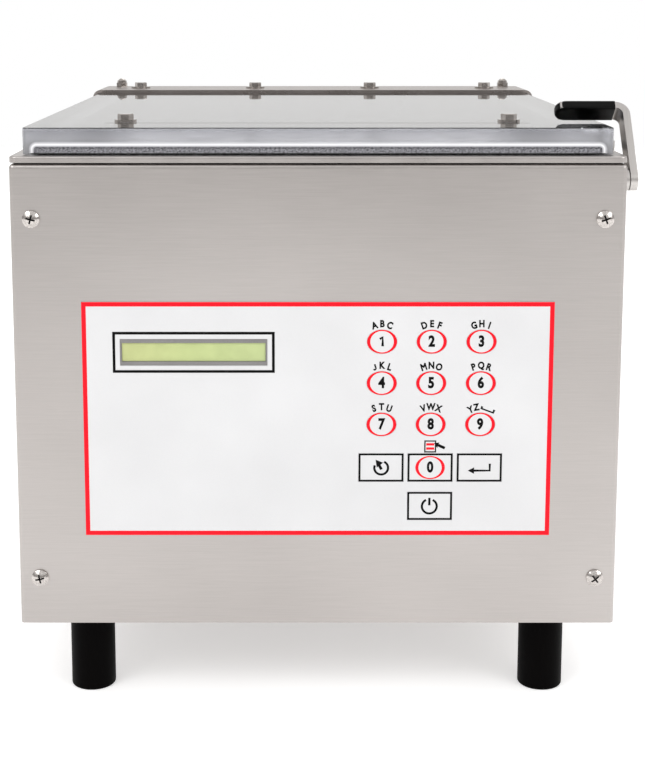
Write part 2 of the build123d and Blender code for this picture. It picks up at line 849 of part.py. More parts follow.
with BuildPart() as hinge_strip:
    with BuildSketch(Plane.XZ.offset(-strip_rear)):
        with Locations((0, strip_top)):
            Rectangle(2 * ear_outside, strip_top - hinge_z + hinge_lobe, align=(Align.CENTER, Align.MAX))
        with Locations((0, lid_top)):
            Rectangle(2 * ear_inside, lid_top, align=(Align.CENTER, Align.MAX), mode=Mode.SUBTRACT)
    extrude(amount=strip_width)
    long_edges = hinge_strip.edges().filter_by(Axis.Y)
    fillet(long_edges.group_by(Axis.Z)[-1], strip_bend)
    inner_edges = hinge_strip.edges().filter_by(Axis.Y).filter_by_position(
        Axis.Z, lid_top - edge_tolerance, lid_top + edge_tolerance
    )
    fillet(inner_edges, strip_bend - strip_thickness)
    with BuildSketch(Plane.YZ.offset(-side)):
        with Locations((strip_y, ear_bottom)):
            Rectangle(strip_width + 2 * cut_margin, strip_top, align=(Align.CENTER, Align.MAX))
        with Locations((hinge_y, hinge_z)):
            Circle(hinge_lobe, mode=Mode.SUBTRACT)
    extrude(amount=body_width, mode=Mode.SUBTRACT)
    with BuildSketch(Plane.YZ.offset(-side)):
        with Locations((hinge_y, hinge_z)):
            Circle(hinge_pin_diameter / 2 + running_clearance)
    extrude(amount=body_width, mode=Mode.SUBTRACT)
    with Locations(*[(x, strip_bolt_y, strip_top) for x in strip_bolt_xs]):
        Hole(strip_bolt_diameter / 2 + bolt_clearance, strip_thickness)
    with Locations(*[(x, hinge_y, strip_top) for x in (-cap_nut_x, cap_nut_x)]):
        Hole(stud_diameter / 2 + bolt_clearance, strip_thickness)
write(hinge_strip, "hinge_strip")

with BuildPart() as hinge_blocks:
    for inner in (block_outside - block_length, -block_outside):
        with BuildSketch(Plane.YZ.offset(inner)):
            with Locations((hinge_y, hinge_z)):
                Circle(hinge_lobe)
                Rectangle(2 * hinge_lobe, lid_top - hinge_z, align=(Align.CENTER, Align.MIN))
        extrude(amount=block_length)
    with BuildSketch(Plane.YZ.offset(-block_outside - cut_margin)):
        with Locations((hinge_y, hinge_z)):
            Circle(hinge_pin_diameter / 2 + running_clearance)
    extrude(amount=pin_reach + cut_margin, mode=Mode.SUBTRACT)
    with BuildSketch(Plane.YZ.offset(block_outside + cut_margin)):
        with Locations((hinge_y, hinge_z)):
            Circle(hinge_pin_diameter / 2 + running_clearance)
    extrude(amount=-(pin_reach + cut_margin), mode=Mode.SUBTRACT)
    with Locations(*[(x, hinge_y, lid_top) for x in (-cap_nut_x, cap_nut_x)]):
        Hole(stud_diameter / 2 + running_clearance, stud_depth + pin_end_gap)
write(hinge_blocks, "hinge_blocks")

with BuildPart() as hinge_pins:
    for way in (-1, 1):
        with BuildSketch(Plane.YZ.offset(way * ear_outside)):
            with Locations((hinge_y, hinge_z)):
                Circle(hinge_pin_diameter / 2)
        extrude(amount=-way * (ear_outside - block_outside + pin_reach - pin_end_gap))
        with BuildSketch(Plane.YZ.offset(way * ear_outside)):
            with Locations((hinge_y, hinge_z)):
                Circle(pin_head_diameter / 2)
        extrude(amount=way * pin_head_height)
write(hinge_pins, "hinge_pins")

# a domed nut standing on the strip, with the stud that it closes

with BuildPart() as cap_nut:
    with BuildSketch():
        RegularPolygon(cap_nut_flats / 2, 6, major_radius=False, rotation=30)
    extrude(amount=cap_nut_hex)
    with Locations((0, 0, cap_nut_hex)):
        Cylinder(cap_nut_radius, cap_nut_neck, align=(Align.CENTER, Align.CENTER, Align.MIN))
    with Locations((0, 0, cap_nut_hex + cap_nut_neck)):
        Sphere(cap_nut_radius, arc_size1=0)
    Cylinder(stud_diameter / 2, strip_thickness + stud_depth, align=(Align.CENTER, Align.CENTER, Align.MAX))

with BuildPart() as hinge_cap_nuts:
    with Locations((-cap_nut_x, hinge_y, strip_top), (cap_nut_x, hinge_y, strip_top)):
        add(cap_nut.part)
write(hinge_cap_nuts, "hinge_cap_nuts")

strip_bolt = hex_bolt(
    strip_bolt_flats, strip_bolt_head, strip_bolt_diameter,
    washer_thickness + strip_thickness + lid_thickness - thread_floor - bolt_end_gap,
)
with BuildPart() as hinge_strip_bolts:
    with Locations(*[(x, strip_bolt_y, strip_top + washer_thickness) for x in strip_bolt_xs]):
        add(strip_bolt)
write(hinge_strip_bolts, "hinge_strip_bolts")

counter_bolt = hex_bolt(
    counter_bolt_flats, counter_bolt_head, counter_bolt_diameter,
    washer_thickness + lid_thickness + counter_height - silicone_seat - bolt_end_gap,
)
with BuildPart() as counter_bar_bolts:
    with Locations(*[(x, seal_y, lid_top + washer_thickness) for x in counter_bolt_xs]):
        add(counter_bolt)
write(counter_bar_bolts, "counter_bar_bolts")

with BuildPart() as lid_washers:
    with BuildSketch(Plane.XY.offset(strip_top)):
        with Locations(*[(x, strip_bolt_y) for x in strip_bolt_xs]):
            Circle(strip_washer_diameter / 2)
            Circle(strip_bolt_diameter / 2 + bolt_clearance, mode=Mode.SUBTRACT)
    extrude(amount=washer_thickness)
    with BuildSketch(Plane.XY.offset(lid_top)):
        with Locations(*[(x, seal_y) for x in counter_bolt_xs]):
            Circle(counter_washer_diameter / 2)
            Circle(counter_bolt_diameter / 2 + bolt_clearance, mode=Mode.SUBTRACT)
    extrude(amount=washer_thickness)
write(lid_washers, "lid_washers")

with BuildPart() as counter_bar:
    with Locations((0, seal_y, counter_bottom)):
        Box(
            seal_length + 2 * counter_end, counter_width, counter_height,
            align=(Align.CENTER, Align.CENTER, Align.MIN),
        )
        Box(
            seal_length, silicone_width + silicone_play, silicone_seat,
            align=(Align.CENTER, Align.CENTER, Align.MIN), mode=Mode.SUBTRACT,
        )
    with Locations(*[(x, seal_y, lid_bottom) for x in counter_bolt_xs]):
        Hole(counter_bolt_diameter / 2 + bolt_clearance, counter_height)
write(counter_bar, "counter_bar")

with BuildPart() as counter_silicone:
    with Locations((0, seal_y, silicone_bottom)):
        Box(
            seal_length - 2 * silicone_play, silicone_width, silicone_height,
            align=(Align.CENTER, Align.CENTER, Align.MIN),
        )
    fillet(counter_silicone.edges().filter_by(Axis.X).group_by(Axis.Z)[0], silicone_edge)
write(counter_silicone, "counter_silicone")

# Seal bar, which two pistons lift

with BuildPart() as seal_bar:
    with Locations((0, seal_y, seal_top)):
        Box(seal_length, seal_width, seal_height, align=(Align.CENTER, Align.CENTER, Align.MAX))
    fillet(seal_bar.edges().filter_by(Axis.X).group_by(Axis.Z)[-1], seal_edge)
write(seal_bar, "seal_bar")

with BuildPart() as heating_strip:
    with Locations((0, seal_y, seal_top)):
        Box(
            seal_length - 2 * strip_heater_end, strip_heater_width, strip_heater_thickness,
            align=(Align.CENTER, Align.CENTER, Align.MIN),
        )
write(heating_strip, "heating_strip")

seal_bottom = seal_top - seal_height
with BuildPart() as lift_rods:
    with Locations((-rod_spacing / 2, seal_y, seal_bottom), (rod_spacing / 2, seal_y, seal_bottom)):
        Cylinder(rod_diameter / 2, rod_length, align=(Align.CENTER, Align.CENTER, Align.MAX))
write(lift_rods, "lift_rods")

with BuildPart() as lift_cylinders:
    with Locations((-rod_spacing / 2, seal_y, chamber_floor), (rod_spacing / 2, seal_y, chamber_floor)):
        Cylinder(cylinder_diameter / 2, cylinder_height, align=(Align.CENTER, Align.CENTER, Align.MIN))
    fillet(lift_cylinders.edges().group_by(Axis.Z)[-1], cylinder_edge)
    with Locations(
        (-rod_spacing / 2, seal_y, chamber_floor + cylinder_height),
        (rod_spacing / 2, seal_y, chamber_floor + cylinder_height),
    ):
        Hole(rod_diameter / 2 + running_clearance, cylinder_height - thread_floor)
write(lift_cylinders, "lift_cylinders")

# Handle: a flat bar on a pivot beside the cabinet, bent in over the lid, on an arm from the lid's side

lean = radians(lever_lean)
bar_middle = bar_outside - bar_thickness / 2
lever_plane = Plane((bar_middle, pivot_y, pivot_z), x_dir=(1, 0, 0), z_dir=(0, -cos(lean), sin(lean)))
grip_centre = lever_plane.from_local_coords((0, lever_length, 0))
grip_plane = Plane(grip_centre, x_dir=(1, 0, 0), z_dir=(0, sin(lean), cos(lean)))
grip_start = -(bar_bend - bar_thickness / 2)
bar_reach = sleeve_length - sleeve_end


def across(x):
    # a plane across X at x, with its x along Y and its y along Z
    return Plane.YZ.offset(x)


with BuildPart() as handle_bar:
    with BuildSketch(lever_plane) as bar_side:
        with Locations((0, -bar_width / 2)):
            Rectangle(
                bar_thickness, bar_width / 2 + lever_length + bar_thickness / 2,
                align=(Align.CENTER, Align.MIN),
            )
        with Locations((bar_thickness / 2, lever_length)):
            Rectangle(bar_bend + bar_reach, bar_thickness, align=(Align.MAX, Align.CENTER))
        diagonal = Axis((0, 0, 0), (1, 1, 0))
        fillet(bar_side.vertices().sort_by(diagonal)[-1], bar_bend)
        inner_corner = Vector(-bar_thickness / 2, lever_length - bar_thickness / 2)
        fillet(bar_side.vertices().sort_by_distance(inner_corner)[0], bar_bend - bar_thickness)
    extrude(amount=bar_width / 2, both=True)
    end_edges = handle_bar.edges().filter_by(Axis.X).sort_by(Axis.Z)[:2]
    fillet(end_edges, bar_width / 2 - edge_tolerance)
    with BuildSketch(across(bar_outside)):
        with Locations((pivot_y, pivot_z)):
            Circle(pivot_diameter / 2 + running_clearance)
    extrude(amount=-bar_thickness, mode=Mode.SUBTRACT)
    with BuildSketch(across(bar_outside)):
        with Locations((pivot_y, pivot_z)):
            Circle(pivot_head_diameter / 2 + running_clearance)
    extrude(amount=-(pivot_head_height + bolt_clearance), mode=Mode.SUBTRACT)
write(handle_bar, "handle_bar")

with BuildPart() as handle_sleeve:
    with BuildSketch(grip_plane) as grip:
        with Locations((grip_start, 0)):
            Rectangle(sleeve_length, sleeve_width, align=(Align.MAX, Align.CENTER))
        fillet(grip.vertices().group_by(Axis.X)[0], sleeve_nose_share * sleeve_width)
    extrude(amount=sleeve_thickness / 2, both=True)
    long_edges = handle_sleeve.edges().filter_by(Axis.X)
    fillet(long_edges, sleeve_edge_share * sleeve_thickness)
    with BuildSketch(grip_plane):
        with Locations((grip_start, 0)):
            Rectangle(
                bar_reach + sleeve_gap, bar_width + 2 * sleeve_gap, align=(Align.MAX, Align.CENTER)
            )
    extrude(amount=bar_thickness / 2 + sleeve_gap, both=True, mode=Mode.SUBTRACT)
write(handle_sleeve, "handle_sleeve")

with BuildPart() as handle_pivot_bolt:
    with BuildSketch(across(arm_inside)):
        with Locations((pivot_y, pivot_z)):
            Circle(pivot_diameter / 2)
    extrude(amount=bar_outside - arm_inside - bolt_clearance)
    with BuildSketch(across(bar_outside - bolt_clearance)):
        with Locations((pivot_y, pivot_z)):
            Circle(pivot_head_diameter / 2)
    extrude(amount=-pivot_head_height)
write(handle_pivot_bolt, "handle_pivot_bolt")

arm_head_x = lid_width / 2 + arm_thickness
with BuildPart() as handle_arm:
    with BuildSketch(across(arm_inside)):
        with Locations((pivot_y, pivot_z)):
            Circle(bar_width / 2)
            Rectangle(arm_rear_y - pivot_y, bar_width, align=(Align.MIN, Align.CENTER))
        with Locations((arm_rear_y, pivot_z - bar_width / 2)):
            Rectangle(
                arm_length, arm_low + arm_thickness - pivot_z + bar_width / 2, align=(Align.MAX, Align.MIN)
            )
        with Locations((pivot_y, pivot_z)):
            Circle(pivot_diameter / 2 + running_clearance, mode=Mode.SUBTRACT)
    extrude(amount=arm_thickness)
    with Locations((lid_width / 2, arm_rear_y, arm_low)):
        Box(
            arm_outside - lid_width / 2, arm_length, arm_thickness,
            align=(Align.MIN, Align.MAX, Align.MIN),
        )
        Box(
            arm_thickness, arm_length, lid_top - arm_low - arm_top_gap,
            align=(Align.MIN, Align.MAX, Align.MIN),
        )
    with BuildSketch(across(lid_width / 2)):
        with Locations(*[(y, arm_screw_z) for y in arm_screw_ys]):
            Circle(arm_screw_diameter / 2 + bolt_clearance)
    extrude(amount=arm_thickness, mode=Mode.SUBTRACT)
write(handle_arm, "handle_arm")

arm_screw = hex_bolt(
    arm_screw_flats, arm_screw_head, arm_screw_diameter, arm_thickness + arm_screw_length - bolt_end_gap
)
with BuildPart() as handle_arm_screws:
    with Locations(
        *[Plane((arm_head_x, y, arm_screw_z), x_dir=(0, 1, 0), z_dir=(1, 0, 0)) for y in arm_screw_ys]
    ):
        add(arm_screw)
write(handle_arm_screws, "handle_arm_screws")

print(f"origin to cabinet middle {-box_middle:.2f} mm, {len(os.listdir('parts'))} files")
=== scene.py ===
import bpy
import math
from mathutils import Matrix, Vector


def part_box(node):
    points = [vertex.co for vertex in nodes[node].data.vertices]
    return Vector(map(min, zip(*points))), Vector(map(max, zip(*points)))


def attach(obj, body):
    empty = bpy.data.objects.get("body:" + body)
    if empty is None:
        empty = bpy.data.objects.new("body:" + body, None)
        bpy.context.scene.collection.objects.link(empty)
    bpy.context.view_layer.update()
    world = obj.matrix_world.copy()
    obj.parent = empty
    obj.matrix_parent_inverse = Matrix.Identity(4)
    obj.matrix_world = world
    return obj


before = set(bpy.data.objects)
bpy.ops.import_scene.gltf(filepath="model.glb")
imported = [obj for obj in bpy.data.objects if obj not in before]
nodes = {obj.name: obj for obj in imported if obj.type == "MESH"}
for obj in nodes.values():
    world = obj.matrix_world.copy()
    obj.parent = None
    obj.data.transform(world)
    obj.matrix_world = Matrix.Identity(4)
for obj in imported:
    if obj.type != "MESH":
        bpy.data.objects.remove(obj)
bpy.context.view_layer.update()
mm = 0.001
print("frame loaded:", len(nodes), "nodes")


def linear(hexText):  # sRGB hex to the linear colour that a node takes
    parts = [int(hexText[i:i + 2], 16) / 255 for i in (1, 3, 5)]
    return [p / 12.92 if p <= 0.04045 else ((p + 0.055) / 1.055) ** 2.4 for p in parts] + [1.0]


def setTones(ramp, tones):  # a ramp starts with two ends, and the tones between are added
    for element, (position, tone) in zip(ramp.elements, (tones[0], tones[-1])):
        element.position = position
        element.color = linear(tone)
    for position, tone in tones[1:-1]:
        ramp.elements.new(position).color = linear(tone)


# settings are the node's own choices; feeds go to its inputs, linked from a node or set to a value
def addNode(tree, kind, settings=None, feeds=None):
    node = tree.nodes.new(kind)
    for name, value in (settings or {}).items():
        if name == "tones":
            setTones(node.color_ramp, value)
        else:
            setattr(node, name, value)
    for name, source in (feeds or {}).items():
        if isinstance(source, bpy.types.Node):
            source = source.outputs[0]
        if isinstance(source, bpy.types.NodeSocket):
            tree.links.new(source, node.inputs[name])
        else:
            node.inputs[name].default_value = source
    return node


def startMaterial(name):
    material = bpy.data.materials.new(name)
    material.use_nodes = True
    material.node_tree.nodes.clear()
    return material, material.node_tree


def coat(tree, finish):  # the finish, in values and nodes, becomes the material's surface
    shader = addNode(tree, "ShaderNodeBsdfPrincipled", feeds=finish)
    addNode(tree, "ShaderNodeOutputMaterial", feeds={"Surface": shader})


noiseReach = {"From Min": 0.3, "From Max": 0.7}  # nearly all of a noise lies between these
noiseEnds = list(noiseReach.values())
detail = {"cloud": 2, "grain": 3, "speck": 6}
mixFirst, mixSecond, mixColor = 6, 7, 2  # where a Mix node keeps its two colours and their result
white = "#FFFFFF"


def grainField(tree, sizeMm, fineness="grain"):  # noise whose features are sizeMm long on each axis
    place = addNode(tree, "ShaderNodeTexCoord")
    scale = [1 / (size * mm) for size in sizeMm]
    scaled = addNode(tree, "ShaderNodeMapping", feeds={"Vector": place.outputs["Object"], "Scale": scale})
    feeds = {"Vector": scaled, "Scale": 1, "Detail": detail[fineness]}
    return addNode(tree, "ShaderNodeTexNoise", feeds=feeds)


def grainedMaterial(name, look):
    material, tree = startMaterial(name)
    fine = grainField(tree, look["grainMm"])
    broad = grainField(tree, look["cloudMm"], "cloud")
    cloud = addNode(tree, "ShaderNodeMath", {"operation": "MULTIPLY"}, {0: broad, 1: 1 - look["fineShare"]})
    share = {0: fine, 1: look["fineShare"], 2: cloud}
    mixed = addNode(tree, "ShaderNodeMath", {"operation": "MULTIPLY_ADD"}, share)
    tones = list(zip(noiseEnds, (look["dark"], look["light"])))
    color = addNode(tree, "ShaderNodeValToRGB", {"tones": tones}, {"Fac": mixed})
    smooth, rough = look["roughness"]
    gloss = addNode(
        tree, "ShaderNodeMapRange", feeds={**noiseReach, "Value": fine, "To Min": smooth, "To Max": rough}
    )
    relief = {"Height": fine, "Strength": look["bump"], "Distance": look["bumpMm"] * mm}
    bump = addNode(tree, "ShaderNodeBump", feeds=relief)
    coat(tree, {**look["fixed"], "Base Color": color, "Roughness": gloss, "Normal": bump})
    return material


def steelLook(grainMm, dark="#A9A4A1", light="#BAB5B2", roughness=(0.3, 0.42)):
    return {
        "fixed": {"Metallic": 1.0}, "grainMm": grainMm, "cloudMm": (190, 190, 150), "fineShare": 0.4,
        "dark": dark, "light": light, "roughness": roughness, "bump": 0.05, "bumpMm": 0.02,
    }


# The brush lines are drawn about three times as coarse as real ones, so that they show.

materials = {
    # cold rolled 304 stainless, brushed along X: soft streaks and a long sideways highlight
    "brushedPanelSteel": grainedMaterial("brushedPanelSteel", steelLook((26, 26, 0.55))),
    # the same sheet lying flat, brushed along X
    "brushedFlatSteel": grainedMaterial(
        "brushedFlatSteel", steelLook((40, 0.6, 40), "#958E8A", "#A39C98", (0.24, 0.36))
    ),
    # deep drawn tub, satin inside
    "drawnTubSteel": grainedMaterial(
        "drawnTubSteel", steelLook((30, 0.7, 30), "#ACA7A4", "#BEB9B6", (0.26, 0.4))
    ),
    # flat bar, linished along its length
    "linishedBarSteel": grainedMaterial("linishedBarSteel", steelLook((0.6, 25, 25), "#B3AFAC", "#C8C4C1")),
    # turned and stamped A2 fasteners: bright, with faint tool marks
    "brightFastenerSteel": grainedMaterial("brightFastenerSteel", {
        "fixed": {"Metallic": 1.0}, "grainMm": (0.9, 0.9, 0.4), "cloudMm": (6, 6, 6), "fineShare": 0.6,
        "dark": "#8E8782", "light": "#D0CBC7", "roughness": (0.06, 0.14), "bump": 0.05, "bumpMm": 0.02,
    }),
    # moulded EPDM rubber: very dark, dull, finely pebbled
    "mouldedRubber": grainedMaterial("mouldedRubber", {
        "fixed": {"Specular IOR Level": 0.03}, "grainMm": (0.6, 0.6, 0.6), "cloudMm": (20, 20, 20),
        "fineShare": 0.5, "dark": "#030202", "light": "#060505", "roughness": (0.4, 0.55),
        "bump": 0.2, "bumpMm": 0.05,
    }),
    # dip moulded PVC: deep black with a soft gloss
    "dippedVinyl": grainedMaterial("dippedVinyl", {
        "fixed": {"IOR": 1.53, "Specular IOR Level": 0.12}, "grainMm": (3, 3, 3), "cloudMm": (15, 15, 15),
        "fineShare": 0.4, "dark": "#030303", "light": "#080808", "roughness": (0.3, 0.4),
        "bump": 0.04, "bumpMm": 0.03,
    }),
    # screen printed polyester film, finely textured: off white with a low sheen
    "printedPolyester": grainedMaterial("printedPolyester", {
        "fixed": {"IOR": 1.6, "Specular IOR Level": 0.4}, "grainMm": (0.7, 0.7, 0.7),
        "cloudMm": (60, 60, 60), "fineShare": 0.3, "dark": "#D0D0D1", "light": "#D8D8D9",
        "roughness": (0.34, 0.46), "bump": 0.05, "bumpMm": 0.02,
    }),
    # red and black screen printing ink, slightly uneven
    "redInk": grainedMaterial("redInk", {
        "fixed": {"Specular IOR Level": 0.15}, "grainMm": (0.9, 0.9, 0.9), "cloudMm": (12, 12, 12),
        "fineShare": 0.5, "dark": "#EA0A1E", "light": "#F21228",
        "roughness": (0.34, 0.46), "bump": 0.05, "bumpMm": 0.02,
    }),
    "blackInk": grainedMaterial("blackInk", {
        "fixed": {"Specular IOR Level": 0.08}, "grainMm": (0.9, 0.9, 0.9), "cloudMm": (12, 12, 12),
        "fineShare": 0.5, "dark": "#040404", "light": "#0A0A0A",
        "roughness": (0.34, 0.46), "bump": 0.05, "bumpMm": 0.02,
    }),
    # moulded ABS bezel, lightly spark textured
    "greyAbs": grainedMaterial("greyAbs", {
        "fixed": {"IOR": 1.54}, "grainMm": (0.8, 0.8, 0.8), "cloudMm": (20, 20, 20), "fineShare": 0.5,
        "dark": "#72706F", "light": "#82807F", "roughness": (0.4, 0.55), "bump": 0.15, "bumpMm": 0.03,
    }),
    # extruded aluminium, natural anodised, with drawing lines along X
    "anodisedExtrusion": grainedMaterial(
        "anodisedExtrusion", steelLook((30, 0.8, 0.8), "#A9ABAD", "#C6C8C9")
    ),
    # high temperature silicone, matt and slightly milky
    "mouldedSilicone": grainedMaterial("mouldedSilicone", {
        "fixed": {"IOR": 1.41}, "grainMm": (1.2, 1.2, 1.2), "cloudMm": (30, 30, 30), "fineShare": 0.4,
        "dark": "#A89E90", "light": "#BDB3A5", "roughness": (0.5, 0.65), "bump": 0.1, "bumpMm": 0.05,
    }),
    # grey enamel over cast aluminium: glossy with a coarse skin
    "enamelledCasting": grainedMaterial("enamelledCasting", {
        "fixed": {"IOR": 1.5}, "grainMm": (2.4, 2.4, 2.4), "cloudMm": (40, 40, 40), "fineShare": 0.5,
        "dark": "#4C5257", "light": "#5E656A", "roughness": (0.3, 0.45), "bump": 0.35, "bumpMm": 0.2,
    }),
    # FR4 laminate with green solder mask, the weave just showing
    "solderMask": grainedMaterial("solderMask", {
        "fixed": {"IOR": 1.55}, "grainMm": (1.0, 1.0, 1.0), "cloudMm": (18, 18, 18), "fineShare": 0.5,
        "dark": "#0C3D22", "light": "#155633", "roughness": (0.2, 0.35), "bump": 0.1, "bumpMm": 0.03,
    }),
    # bare nickel chrome ribbon, straw coloured by heat
    "nichromeRibbon": grainedMaterial("nichromeRibbon", steelLook((20, 0.5, 0.5), "#7D746A", "#958A7C")),
}


# pan head A2 screw: bright dome, and a cross recess painted near black, as painted shade
screwLook = {
    "fixed": {"Specular IOR Level": 0.2}, "grainMm": (0.9, 0.9, 0.9), "dark": "#A9A39F", "light": "#D2CDC9",
    "roughness": (0.12, 0.2), "recessShade": "#0E0C0B", "recessShadeRoughness": 0.4, "floorMm": 1.9, "wallMm": 2.35,
    "facesFront": -0.99, "upright": 0.05,
}


def recessedScrew(look):
    material, tree = startMaterial("recessedScrew")
    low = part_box("front_panel_screws")[0]
    place = addNode(tree, "ShaderNodeTexCoord")
    inward = addNode(tree, "ShaderNodeSeparateXYZ", feeds={0: place.outputs["Object"]}).outputs["Y"]
    facing = addNode(tree, "ShaderNodeSeparateXYZ", feeds={0: place.outputs["Normal"]}).outputs["Y"]
    depthMm = addNode(
        tree, "ShaderNodeMath", {"operation": "MULTIPLY_ADD"}, {0: inward, 1: 1 / mm, 2: -low.y / mm}
    )
    level = addNode(tree, "ShaderNodeMath", {"operation": "LESS_THAN"}, {0: facing, 1: look["facesFront"]})
    deep = addNode(tree, "ShaderNodeMath", {"operation": "GREATER_THAN"}, {0: depthMm, 1: look["floorMm"]})
    floors = addNode(tree, "ShaderNodeMath", {"operation": "MULTIPLY"}, {0: level, 1: deep})
    lean = addNode(tree, "ShaderNodeMath", {"operation": "ABSOLUTE"}, {0: facing})
    upright = addNode(tree, "ShaderNodeMath", {"operation": "LESS_THAN"}, {0: lean, 1: look["upright"]})
    shallow = addNode(tree, "ShaderNodeMath", {"operation": "LESS_THAN"}, {0: depthMm, 1: look["wallMm"]})
    walls = addNode(tree, "ShaderNodeMath", {"operation": "MULTIPLY"}, {0: upright, 1: shallow})
    recess = addNode(tree, "ShaderNodeMath", {"operation": "MAXIMUM"}, {0: floors, 1: walls})
    grain = grainField(tree, look["grainMm"])
    tones = list(zip(noiseEnds, (look["dark"], look["light"])))
    dome = addNode(tree, "ShaderNodeValToRGB", {"tones": tones}, {"Fac": grain})
    # painted shade: the floors and walls of the cross recess are painted near black and not metal
    color = addNode(
        tree, "ShaderNodeMix", {"data_type": "RGBA"},
        {0: recess, mixFirst: dome, mixSecond: linear(look["recessShade"])},
    ).outputs[mixColor]
    metal = addNode(tree, "ShaderNodeMath", {"operation": "SUBTRACT"}, {0: 1.0, 1: recess})
    smooth, rough = look["roughness"]
    polish = addNode(
        tree, "ShaderNodeMapRange", feeds={**noiseReach, "Value": grain, "To Min": smooth, "To Max": rough}
    )
    # the painted shade in the recess is also made matt
    paintedLightPart = {0: recess, 1: look["recessShadeRoughness"], 2: polish}
    gloss = addNode(tree, "ShaderNodeMath", {"operation": "MULTIPLY_ADD"}, paintedLightPart)
    coat(tree, {**look["fixed"], "Base Color": color, "Metallic": metal, "Roughness": gloss})
    return material


materials["recessedScrew"] = recessedScrew(screwLook)

# cast PMMA: clear faces, and sawn edges that blur; on the edges a painted reflection shows the outline of
# the milled groove behind them and the black gasket under it
acrylicLook = {
    "fixed": {"IOR": 1.49}, "waveMm": (45, 45, 45), "dark": "#DDE1E5", "light": "#EAEDF0",
    "roughness": (0.02, 0.04), "bump": 0.01, "bumpMm": 0.12, "edgeNormal": 0.3,
    # painted light: the sawn edge's tones go by height, palest low down, darker near the top and pale again
    # at the top corner
    "sawn": [(0.0, "#F4F4F8"), (0.6, "#E8E9EF"), (0.9, "#D3D4DC"), (1.0, "#EEEFF4")],
    "sawnThrough": 0.7, "sawnRoughness": 0.03, "sawMm": (80, 80, 0.4), "sawBump": 0.8,
    "outlineInsetMm": 4.9, "outlineTopMm": 8.1, "outlineRadiusMm": 5, "outlineFadeMm": 1.5,
    # painted reflection seen through the sawn edge: the rings of the groove's outline, their dark specks
    # from the gasket, and the dark line below
    "band": [
        (0.0, "#A6A6AC"), (0.18, "#77777C"), (0.36, "#949499"), (0.52, "#D2D2D6"), (0.68, "#F4F4F6"),
        (1.0, "#D2D2D8"),
    ],
    "speckMm": (1.5, 1.5, 1.0), "speck": "#55555A", "speckReachMm": 1.9,
    "gasketAndGapShadeMm": 0.7, "gasketAndGapShade": "#1B1B1C",
}


